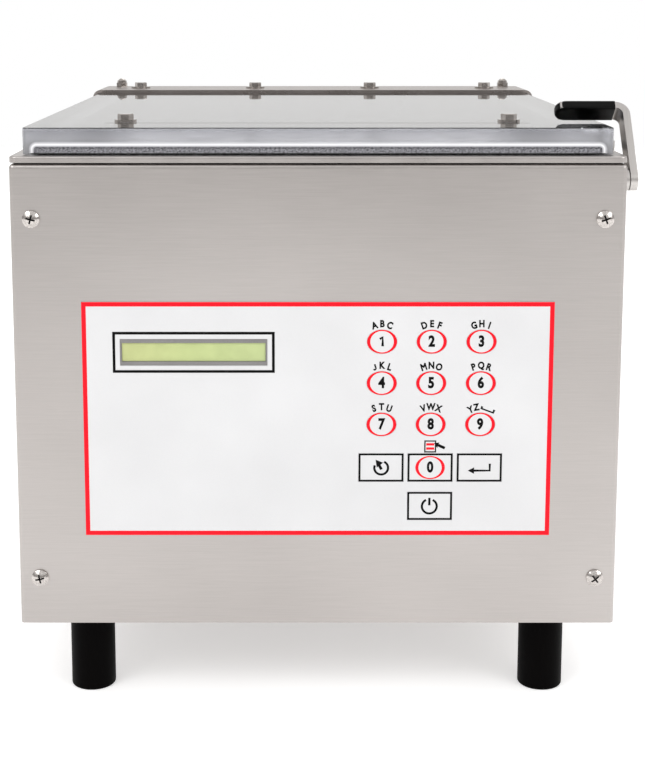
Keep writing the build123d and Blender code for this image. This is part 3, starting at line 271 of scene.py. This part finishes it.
def castAcrylic(look):
    material, tree = startMaterial("castAcrylic")
    low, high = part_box("lid_plate")
    radius = look["outlineRadiusMm"]
    place = addNode(tree, "ShaderNodeTexCoord")
    normal = addNode(tree, "ShaderNodeSeparateXYZ", feeds={0: place.outputs["Normal"]})
    slope = addNode(tree, "ShaderNodeMath", {"operation": "ABSOLUTE"}, {0: normal.outputs["Z"]})
    edge = addNode(tree, "ShaderNodeMath", {"operation": "LESS_THAN"}, {0: slope, 1: look["edgeNormal"]})

    # millimetres out from the middle of the lid, and up from its underside
    middle = ((low.x + high.x) / 2, (low.y + high.y) / 2, low.z)
    shifted = addNode(
        tree, "ShaderNodeVectorMath", {"operation": "SUBTRACT"}, {0: place.outputs["Object"], 1: middle}
    )
    folded = addNode(tree, "ShaderNodeVectorMath", {"operation": "ABSOLUTE"}, {0: shifted})
    inLid = addNode(tree, "ShaderNodeVectorMath", {"operation": "SCALE"}, {0: folded, "Scale": 1 / mm})
    up = addNode(tree, "ShaderNodeSeparateXYZ", feeds={0: inLid}).outputs["Z"]
    out = addNode(tree, "ShaderNodeVectorMath", {"operation": "DOT_PRODUCT"}, {0: inLid, 1: (1, 1, 0)})
    corner = addNode(tree, "ShaderNodeCombineXYZ", feeds={"X": out.outputs["Value"], "Y": up})

    # distance from the core of the groove's outline, whose top corners are rounded
    cornerMm = (high.x - low.x + high.y - low.y) / 2 / mm
    coreEnds = (cornerMm - look["outlineInsetMm"] - radius, look["outlineTopMm"] - radius, 0)
    past = addNode(tree, "ShaderNodeVectorMath", {"operation": "SUBTRACT"}, {0: corner, 1: coreEnds})
    outside = addNode(tree, "ShaderNodeVectorMath", {"operation": "MAXIMUM"}, {0: past, 1: (0, 0, 0)})
    core = addNode(tree, "ShaderNodeVectorMath", {"operation": "LENGTH"}, {0: outside}).outputs["Value"]

    # painted reflection: the groove's outline is painted on the edge in grey, dark and white rings, darkly
    # mottled near its core where the gasket shows
    across = addNode(tree, "ShaderNodeMath", {"operation": "DIVIDE"}, {0: core, 1: radius})
    band = addNode(tree, "ShaderNodeValToRGB", {"tones": look["band"]}, {0: across})
    paintedReflectionNoise = grainField(tree, look["speckMm"], "speck")
    tones = list(zip(noiseEnds, (look["speck"], white)))
    specks = addNode(tree, "ShaderNodeValToRGB", {"tones": tones}, {0: paintedReflectionNoise})
    paintedLightPart = addNode(tree, "ShaderNodeMath", {"operation": "LESS_THAN"}, {0: core, 1: look["speckReachMm"]})
    speckled = addNode(
        tree, "ShaderNodeMix", {"data_type": "RGBA"}, {0: paintedLightPart, mixFirst: linear(white), mixSecond: specks}
    ).outputs[mixColor]
    paintedReflectionMottled = addNode(
        tree, "ShaderNodeMix", {"data_type": "RGBA", "blend_type": "MULTIPLY"},
        {0: 1.0, mixFirst: band, mixSecond: speckled},
    ).outputs[mixColor]
    # painted reflection and painted shade: a dark line along the bottom of the edge, for the black gasket
    # seen through it and the shade in the gap under the lid
    inGasketAndGapShade = addNode(tree, "ShaderNodeMath", {"operation": "LESS_THAN"}, {0: up, 1: look["gasketAndGapShadeMm"]})
    groove = addNode(
        tree, "ShaderNodeMix", {"data_type": "RGBA"},
        {0: inGasketAndGapShade, mixFirst: paintedReflectionMottled, mixSecond: linear(look["gasketAndGapShade"])},
    ).outputs[mixColor]

    fade = {"From Min": radius - look["outlineFadeMm"], "From Max": radius + look["outlineFadeMm"]}
    inBand = addNode(
        tree, "ShaderNodeMapRange", feeds={**fade, "Value": core, "To Min": 1.0, "To Max": 0.0}
    )
    # painted light and shade on the frosted edge, by height
    height = addNode(tree, "ShaderNodeMath", {"operation": "DIVIDE"}, {0: up, 1: (high.z - low.z) / mm})
    sawn = addNode(tree, "ShaderNodeValToRGB", {"tones": look["sawn"]}, {0: height})
    sawnFace = addNode(
        tree, "ShaderNodeMix", {"data_type": "RGBA"}, {0: inBand, mixFirst: sawn, mixSecond: groove}
    ).outputs[mixColor]
    waves = grainField(tree, look["waveMm"], "cloud")
    tones = list(zip(noiseEnds, (look["dark"], look["light"])))
    clear = addNode(tree, "ShaderNodeValToRGB", {"tones": tones}, {0: waves})
    color = addNode(
        tree, "ShaderNodeMix", {"data_type": "RGBA"}, {0: edge, mixFirst: clear, mixSecond: sawnFace}
    ).outputs[mixColor]

    # on the edges no light goes through where the painted reflection lies, and only sawnThrough of it
    # elsewhere
    least = 1 - look["sawnThrough"]
    solid = addNode(tree, "ShaderNodeMath", {"operation": "MAXIMUM"}, {0: inBand, 1: least})
    blocked = addNode(tree, "ShaderNodeMath", {"operation": "MULTIPLY"}, {0: edge, 1: solid})
    through = addNode(tree, "ShaderNodeMath", {"operation": "SUBTRACT"}, {0: 1.0, 1: blocked})
    smooth, rough = look["roughness"]
    polish = addNode(
        tree, "ShaderNodeMapRange", feeds={**noiseReach, "Value": waves, "To Min": smooth, "To Max": rough}
    )
    hazy = {0: edge, 1: look["sawnRoughness"], 2: polish}
    gloss = addNode(tree, "ShaderNodeMath", {"operation": "MULTIPLY_ADD"}, hazy)

    # the saw leaves fine lines along each edge, drawn a little coarse so that they show
    saw = grainField(tree, look["sawMm"], "cloud")
    relief = addNode(tree, "ShaderNodeMix", {"data_type": "FLOAT"}, {"Factor": edge, "A": waves, "B": saw})
    lines = {0: edge, 1: look["sawBump"], 2: look["bump"]}
    strength = addNode(tree, "ShaderNodeMath", {"operation": "MULTIPLY_ADD"}, lines)
    marks = {"Height": relief, "Strength": strength, "Distance": look["bumpMm"] * mm}
    bump = addNode(tree, "ShaderNodeBump", feeds=marks)
    coat(tree, {
        **look["fixed"], "Base Color": color, "Transmission Weight": through,
        "Roughness": gloss, "Normal": bump,
    })
    return material


materials["castAcrylic"] = castAcrylic(acrylicLook)

# STN glass with its back light off: yellow green, a little greener at one end
crystalLook = {
    "fixed": {"Specular IOR Level": 0.2}, "tones": [(0.0, "#C1C68B"), (0.5, "#BAC68A"), (1.0, "#BAC78F")],
    "cloudMm": (14, 14, 14), "cloud": "#F2F2F2", "grainMm": (8, 8, 8), "roughness": (0.12, 0.2),
}


def liquidCrystal(look):
    material, tree = startMaterial("liquidCrystal")
    low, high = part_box("display_module")
    place = addNode(tree, "ShaderNodeTexCoord")
    position = addNode(tree, "ShaderNodeSeparateXYZ", feeds={0: place.outputs["Object"]})
    span = {"From Min": low.x, "From Max": high.x, "To Min": 0.0, "To Max": 1.0}
    along = addNode(tree, "ShaderNodeMapRange", feeds={**span, "Value": position.outputs["X"]})
    glass = addNode(tree, "ShaderNodeValToRGB", {"tones": look["tones"]}, {"Fac": along})
    cloud = grainField(tree, look["cloudMm"], "cloud")
    tones = list(zip(noiseEnds, (look["cloud"], white)))
    haze = addNode(tree, "ShaderNodeValToRGB", {"tones": tones}, {"Fac": cloud})
    color = addNode(
        tree, "ShaderNodeMix", {"data_type": "RGBA", "blend_type": "MULTIPLY"},
        {0: 1.0, mixFirst: glass, mixSecond: haze},
    ).outputs[mixColor]
    grain = grainField(tree, look["grainMm"])
    smooth, rough = look["roughness"]
    gloss = addNode(
        tree, "ShaderNodeMapRange", feeds={**noiseReach, "Value": grain, "To Min": smooth, "To Max": rough}
    )
    coat(tree, {**look["fixed"], "Base Color": color, "Roughness": gloss})
    return material


materials["liquidCrystal"] = liquidCrystal(crystalLook)
print("materials made:", len(materials))

finishes = {
    "brushedPanelSteel": [
        "front_panel", "left_side_panel", "right_side_panel", "rear_panel", "corner_posts",
    ],
    "brushedFlatSteel": ["hinge_strip", "base_plate"],
    "drawnTubSteel": ["chamber_tub"],
    "recessedScrew": ["front_panel_screws"],
    "linishedBarSteel": ["handle_bar", "handle_arm"],
    "brightFastenerSteel": [
        "panel_screws", "foot_bolts", "hinge_strip_bolts", "lid_washers", "hinge_pins",
        "hinge_cap_nuts", "counter_bar_bolts", "handle_arm_screws", "handle_pivot_bolt", "lift_rods",
        "suction_pipe",
    ],
    "mouldedRubber": ["feet", "lid_gasket", "pump_mounts"],
    "dippedVinyl": ["handle_sleeve", "mains_inlet"],
    "printedPolyester": [
        n for n in nodes if n == "keypad_overlay" or n.startswith("key_") and n != "key_switches"
    ],
    "greyAbs": ["display_bezel", "board_spacers", "key_switches"],
    "anodisedExtrusion": ["counter_bar", "seal_bar", "lift_cylinders", "hinge_blocks"],
    "mouldedSilicone": ["counter_silicone"],
    "enamelledCasting": ["pump_motor", "pump_housing", "oil_tank", "vacuum_valve", "transformer"],
    "solderMask": ["keypad_board", "control_board"],
    "nichromeRibbon": ["heating_strip"],
    "castAcrylic": ["lid_plate"],
    "liquidCrystal": ["display_module"],
}
for finish, members in finishes.items():
    for member in members:
        nodes[member].data.materials.clear()
        nodes[member].data.materials.append(materials[finish])
print("CAD nodes finished")

# the prints lie just in front of the keypad sheet, which faces -Y
inkLook = {
    "thickness": 0.02 * mm, "lift": 0.03 * mm, "roundSteps": 4, "ringSides": 72, "arcSteps": 28,
    "letterBevel": 1, "strokeBevel": 2,
}
overlayLow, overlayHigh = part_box("keypad_overlay")
inkY = overlayLow.y - inkLook["lift"]


def deselect():
    if bpy.context.mode != "OBJECT":
        bpy.ops.object.mode_set(mode="OBJECT")
    bpy.ops.object.select_all(action="DESELECT")


def newest(name):
    piece = bpy.context.object
    piece.name = name
    piece.data.name = name
    return piece


def applyPlace(piece):
    deselect()
    piece.select_set(True)
    bpy.context.view_layer.objects.active = piece
    bpy.ops.object.transform_apply(location=True, rotation=True, scale=True)


def standOnFront(piece, x, z, turn=0):  # a flat shape drawn in XY is stood up to face -Y
    piece.rotation_euler = (math.radians(90), -turn, 0)
    piece.location = (x, inkY, z)
    applyPlace(piece)


def inMm(points):
    return [(px * mm, pz * mm) for px, pz in points]


def inked(piece, finish):
    piece.data.materials.clear()
    piece.data.materials.append(materials[finish])
    return piece


def finishPrint(pieces, name, body):
    deselect()
    for piece in pieces:
        piece.select_set(True)
    bpy.context.view_layer.objects.active = pieces[0]
    if len(pieces) > 1:
        bpy.ops.object.join()
    piece = newest(name)
    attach(piece, body)


def letters(text, look, x, z, turn=0):
    deselect()
    bpy.ops.object.text_add()
    piece = bpy.context.object
    piece.data.body = text
    piece.data.size = look["size"]
    piece.data.bevel_depth = look["weight"]  # thickens each stroke; the bevel is pressed flat below
    piece.data.bevel_resolution = inkLook["letterBevel"]
    piece.data.align_x = "CENTER"
    piece.data.align_y = "CENTER"
    piece.data.resolution_u = inkLook["roundSteps"]
    bpy.ops.object.convert(target="MESH")
    piece = bpy.context.object
    piece.scale.x = look["squeeze"]
    piece.scale.z = inkLook["thickness"] / look["weight"]
    applyPlace(piece)
    standOnFront(piece, x, z, turn)
    return piece


def stroke(points, width, x=0, z=0, closed=False, turn=0):  # a line of ink through points in X and Z
    data = bpy.data.curves.new("stroke", "CURVE")
    data.dimensions = "3D"
    data.bevel_depth = width / 2
    data.bevel_resolution = inkLook["strokeBevel"]
    data.use_fill_caps = True
    line = data.splines.new("POLY")
    line.points.add(len(points) - 1)
    for point, (px, pz) in zip(line.points, points):
        point.co = (px, pz, 0, 1)
    line.use_cyclic_u = closed
    piece = bpy.data.objects.new("stroke", data)
    bpy.context.scene.collection.objects.link(piece)
    deselect()
    piece.select_set(True)
    bpy.context.view_layer.objects.active = piece
    bpy.ops.object.convert(target="MESH")
    piece = bpy.context.object
    piece.scale.z = 2 * inkLook["thickness"] / width
    applyPlace(piece)
    standOnFront(piece, x, z, turn)
    return piece


def arc(radius, startDeg, endDeg):
    steps = inkLook["arcSteps"]
    angles = [math.radians(startDeg + (endDeg - startDeg) * i / steps) for i in range(steps + 1)]
    return [(radius * math.cos(a), radius * math.sin(a)) for a in angles]


def thicken(piece, x, z):
    layer = piece.modifiers.new("ink", "SOLIDIFY")
    layer.thickness = 2 * inkLook["thickness"]
    layer.offset = 0
    bpy.context.view_layer.objects.active = piece
    bpy.ops.object.modifier_apply(modifier=layer.name)
    standOnFront(piece, x, z)
    return piece


def flatRing(outer, inner, x, z):  # an oval band: the circle is stretched, extruded and drawn in
    deselect()
    bpy.ops.mesh.primitive_circle_add(vertices=inkLook["ringSides"], radius=1)
    piece = bpy.context.object
    bpy.ops.object.mode_set(mode="EDIT")
    bpy.ops.mesh.select_all(action="SELECT")
    bpy.ops.transform.resize(value=(outer[0], outer[1], 1))
    bpy.ops.mesh.extrude_edges_move()
    bpy.ops.transform.resize(value=(inner[0] / outer[0], inner[1] / outer[1], 1))
    bpy.ops.mesh.select_all(action="SELECT")
    bpy.ops.mesh.normals_make_consistent(inside=False)
    bpy.ops.object.mode_set(mode="OBJECT")
    return thicken(piece, x, z)


def flatFrame(width, height, line, x, z):  # a rectangular outline: a plane inset by the line
    deselect()
    bpy.ops.mesh.primitive_plane_add(size=1)
    piece = bpy.context.object
    bpy.ops.object.mode_set(mode="EDIT")
    bpy.ops.mesh.select_all(action="SELECT")
    bpy.ops.transform.resize(value=(width, height, 1))
    bpy.ops.mesh.inset(thickness=line)
    bpy.ops.mesh.delete(type="FACE")
    bpy.ops.object.mode_set(mode="OBJECT")
    return thicken(piece, x, z)


def flatPatch(corners, x, z):  # a filled polygon: a circle with as many corners, each put in its place
    deselect()
    bpy.ops.mesh.primitive_circle_add(vertices=len(corners), radius=1, fill_type="NGON")
    piece = bpy.context.object
    for vertex, (px, pz) in zip(piece.data.vertices, corners):
        vertex.co = (px, pz, 0)
    return thicken(piece, x, z)


def middleOf(name):
    low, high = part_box(name)
    return (low.x + high.x) / 2, (low.z + high.z) / 2


keyLip = {"hidden": 1.0 * mm, "seam": 0.2 * mm}  # behind each key a lip makes its box larger than its face


def keyFace(name):
    low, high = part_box(name)
    trim = keyLip["hidden"] + keyLip["seam"]
    return (high.x - low.x) / 2 - trim, (high.z - low.z) / 2 - trim


borderLook = {"line": 3.1 * mm}
overlayX, overlayZ = middleOf("keypad_overlay")
border = flatFrame(
    overlayHigh.x - overlayLow.x, overlayHigh.z - overlayLow.z, borderLook["line"], overlayX, overlayZ
)
finishPrint([inked(border, "redInk")], "overlay_border", "cabinet")

windowLook = {"width": 111.8 * mm, "height": 28.9 * mm, "line": 1.9 * mm}
window = flatFrame(
    windowLook["width"], windowLook["height"], windowLook["line"], *middleOf("display_bezel")
)
finishPrint([inked(window, "blackInk")], "display_outline", "cabinet")

digitLook = {
    "size": 10.4 * mm, "weight": 0.5 * mm, "squeeze": 0.82, "stroke": 1.8 * mm,
    "one": [(-1.5, 1.8), (0.4, 3.1), (0.4, -3.2)],  # a plain stroke, because the font's own is too slim
}
ringLook = {"side": 2.2 * mm, "top": 0.8 * mm}
letterLook = {
    "size": 6.6 * mm, "weight": 0.33 * mm, "squeeze": 0.84, "stroke": 1.15 * mm,
    "radius": 12.4 * mm, "lean": 0.7,
    "groups": ("ABC", "DEF", "GHI", "JKL", "MNO", "PQR", "STU", "VWX", "YZ"),
    "turns": {2: (33, 13), 3: (25, 0, -25)},  # degrees round the key, for two letters and for three
    # the font's own J hangs too low for its ring
    "hook": [(0.9, 2), (0.9, -1.1), (0.4, -1.8), (-0.4, -1.8), (-0.9, -1.1)],
}


def ringAndDigit(text, name, face):
    x, z = middleOf(name)
    ring = flatRing(face, (face[0] - ringLook["side"], face[1] - ringLook["top"]), x, z)
    if text == "1":
        digit = stroke(inMm(digitLook["one"]), digitLook["stroke"], x, z)
    else:
        digit = letters(text, digitLook, x, z)
    return [inked(ring, "redInk"), inked(digit, "blackInk")]


smallPrints = []
for number, group in enumerate(letterLook["groups"], 1):
    name = f"key_{number}"
    finishPrint(ringAndDigit(str(number), name, keyFace(name)), f"print_{name}", name)
    x, z = middleOf(name)
    for letter, degrees in zip(group, letterLook["turns"][len(group)]):
        turn = math.radians(degrees)
        letterX = x - letterLook["radius"] * math.sin(turn)
        letterZ = z + letterLook["radius"] * math.cos(turn)
        lean = turn * letterLook["lean"]
        if letter == "J":
            glyph = stroke(inMm(letterLook["hook"]), letterLook["stroke"], letterX, letterZ, turn=lean)
        else:
            glyph = letters(letter, letterLook, letterX, letterZ, lean)
        smallPrints.append(inked(glyph, "blackInk"))
print("number keys printed")

symbolLook = {"outline": 1.3 * mm, "line": 1.6 * mm, "bold": 2.0 * mm}  # widths of the ink lines


def keyOutline(name):
    halfX, halfZ = keyFace(name)
    return inked(flatFrame(2 * halfX, 2 * halfZ, symbolLook["outline"], *middleOf(name)), "blackInk")


def inkLine(points, name, weight="line", offset=(0, 0), closed=False):
    x, z = middleOf(name)
    line = stroke(inMm(points), symbolLook[weight], x + offset[0] * mm, z + offset[1] * mm, closed)
    return inked(line, "blackInk")


def inkPatch(points, name, finish="blackInk", offset=(0, 0)):
    x, z = middleOf(name)
    return inked(flatPatch(inMm(points), x + offset[0] * mm, z + offset[1] * mm), finish)


timerLook = {
    "dial": arc(4.8, 158, 425), "dialShift": (0.1, -0.2), "hand": [(0.3, -1.4), (-1.5, 2)],
    "arrow": [(-3.8, 5.7), (1.4, 3.5), (-3.0, 0.0)],
}
finishPrint([
    keyOutline("key_timer"),
    inkLine(timerLook["dial"], "key_timer", offset=timerLook["dialShift"]),
    inkLine(timerLook["hand"], "key_timer", "bold"),
    inkPatch(timerLook["arrow"], "key_timer"),
], "print_key_timer", "key_timer")

finishPrint([keyOutline("key_0")] + ringAndDigit("0", "key_0", keyFace("key_1")), "print_key_0", "key_0")

enterLook = {
    "tail": [(7.3, 2.8), (7.3, -2.2), (-4, -2.2)],
    "arrow": [(-8.0, -2.2), (-3.6, 0.1), (-3.6, -4.5)],
}
finishPrint([
    keyOutline("key_enter"),
    inkLine(enterLook["tail"], "key_enter"),
    inkPatch(enterLook["arrow"], "key_enter"),
], "print_key_enter", "key_enter")

powerLook = {"loop": arc(5.2, 117, 423), "loopShift": (-0.2, -0.3), "bar": [(-0.2, 0.4), (-0.2, 5.9)]}
finishPrint([
    keyOutline("key_power"),
    inkLine(powerLook["loop"], "key_power", offset=powerLook["loopShift"]),
    inkLine(powerLook["bar"], "key_power"),
], "print_key_power", "key_power")

menuLook = {  # a small list with a pointer, which stands above the zero key
    "above": (-0.1, 15.2), "barMiddles": (1.5, -1.5), "barHalf": (2.8, 0.85), "half": (3.7, 3.9),
    "pointer": [(10.2, -1.2), (5.6, 0.9)], "tip": [(2.7, 2.4), (6.3, 2.9), (4.9, -1.2)],
}


def rectangle(halfX, halfZ, middleZ=0):
    low, high = middleZ - halfZ, middleZ + halfZ
    return [(-halfX, low), (halfX, low), (halfX, high), (-halfX, high)]


for middle in menuLook["barMiddles"]:
    bar = rectangle(*menuLook["barHalf"], middle)
    smallPrints.append(inkPatch(bar, "key_0", "redInk", menuLook["above"]))
smallPrints.append(inkLine(rectangle(*menuLook["half"]), "key_0", "outline", menuLook["above"], True))
smallPrints.append(inkLine(menuLook["pointer"], "key_0", "bold", menuLook["above"]))
smallPrints.append(inkPatch(menuLook["tip"], "key_0", "blackInk", menuLook["above"]))
spaceMark = [(1.4, 12.9), (0.7, 11.4), (8.9, 8.3), (9.7, 10.4)]
smallPrints.append(inkLine(spaceMark, "key_9"))
finishPrint(smallPrints, "overlay_letters", "cabinet")
print("symbol keys printed")

floorLook = {
    "size": 8, "dark": "#EEEEEE", "light": "#F4F4F4", "cloudMm": (300, 300, 300),
    "grainMm": (40, 40, 40), "roughness": (0.5, 0.7),
    "fixed": {"Specular IOR Level": 0.2, "Emission Color": linear(white), "Emission Strength": 0.42},
}
deselect()
bpy.ops.mesh.primitive_plane_add(size=floorLook["size"], location=(0, 0, 0))
floor = newest("floor")
floorMaterial, floorTree = startMaterial("paperFloor")
floorTones = list(zip(noiseEnds, (floorLook["dark"], floorLook["light"])))
floorCloud = grainField(floorTree, floorLook["cloudMm"])
floorGrain = grainField(floorTree, floorLook["grainMm"])
floorSmooth, floorRough = floorLook["roughness"]
coat(floorTree, {
    **floorLook["fixed"],
    "Base Color": addNode(floorTree, "ShaderNodeValToRGB", {"tones": floorTones}, {"Fac": floorCloud}),
    "Roughness": addNode(floorTree, "ShaderNodeMapRange", feeds={
        **noiseReach, "Value": floorGrain, "To Min": floorSmooth, "To Max": floorRough,
    }),
})
floor.data.materials.append(floorMaterial)

studio = {
    "backdrop": white, "behind": "#EFEEED", "top": white, "horizon": "#B2B0AF", "strength": 1.0,
    "riseFrom": 0.12, "riseTo": 0.5, "backFrom": -0.35, "backTo": 0.25,
    "lamps": [
        # place, aim, size, watts
        ((-1.7, -2.0, 2.2), (0, 0, 0.25), 1.5, 25),
        ((1.9, -1.6, 1.6), (0, 0, 0.25), 1.2, 14.5),
        ((0.2, 1.8, 2.4), (0, 0, 0.3), 1.6, 15),
    ],
}
world = bpy.data.worlds.new("studio")
bpy.context.scene.world = world
world.use_nodes = True
sky = world.node_tree
# the room in front of the machine is dim near the horizon, so the bright metal has something to mirror
heading = addNode(sky, "ShaderNodeTexCoord")
compass = addNode(sky, "ShaderNodeSeparateXYZ", feeds={0: heading.outputs["Generated"]})
rise = {"Value": compass.outputs["Z"], "From Min": studio["riseFrom"], "From Max": studio["riseTo"]}
height = addNode(sky, "ShaderNodeMapRange", {"interpolation_type": "SMOOTHSTEP"}, rise)
back = {"Value": compass.outputs["Y"], "From Min": studio["backFrom"], "From Max": studio["backTo"]}
behind = addNode(sky, "ShaderNodeMapRange", {"interpolation_type": "SMOOTHSTEP"}, back)
wall = {0: height, mixFirst: linear(studio["horizon"]), mixSecond: linear(studio["top"])}
front = addNode(sky, "ShaderNodeMix", {"data_type": "RGBA"}, wall).outputs[mixColor]
around = {0: behind, mixFirst: front, mixSecond: linear(studio["behind"])}
room = addNode(sky, "ShaderNodeMix", {"data_type": "RGBA"}, around).outputs[mixColor]
# the room lights the machine, and a plain white backdrop is what shows behind it
path = addNode(sky, "ShaderNodeLightPath")
backdrop = {0: path.outputs["Is Camera Ray"], mixFirst: room, mixSecond: linear(studio["backdrop"])}
shown = addNode(sky, "ShaderNodeMix", {"data_type": "RGBA"}, backdrop).outputs[mixColor]
sky.links.new(shown, sky.nodes["Background"].inputs["Color"])
sky.nodes["Background"].inputs["Strength"].default_value = studio["strength"]
for place, aim, size, watts in studio["lamps"]:
    deselect()
    bpy.ops.object.light_add(type="AREA", location=place)
    lamp = bpy.context.object
    lamp.data.size = size
    lamp.data.energy = watts
    lamp.rotation_euler = (Vector(aim) - Vector(place)).to_track_quat("-Z", "Y").to_euler()
bpy.context.scene.view_settings.view_transform = "Standard"

cameraLook = {
    "place": (-0.0157, -1.2674, 0.4927), "pitchDeg": 8.54, "lens": 84.26,
    "shiftX": 0.0359, "shiftY": -0.24, "near": 0.01,
}
deselect()
bpy.ops.object.camera_add(location=cameraLook["place"])
camera = newest("camera")
camera.rotation_euler = (math.radians(90 - cameraLook["pitchDeg"]), 0, 0)
camera.data.sensor_fit = "HORIZONTAL"
camera.data.lens = cameraLook["lens"]
camera.data.shift_x = cameraLook["shiftX"]
camera.data.shift_y = cameraLook["shiftY"]
camera.data.clip_start = cameraLook["near"]
bpy.context.scene.camera = camera
print("stage, lights and camera set")
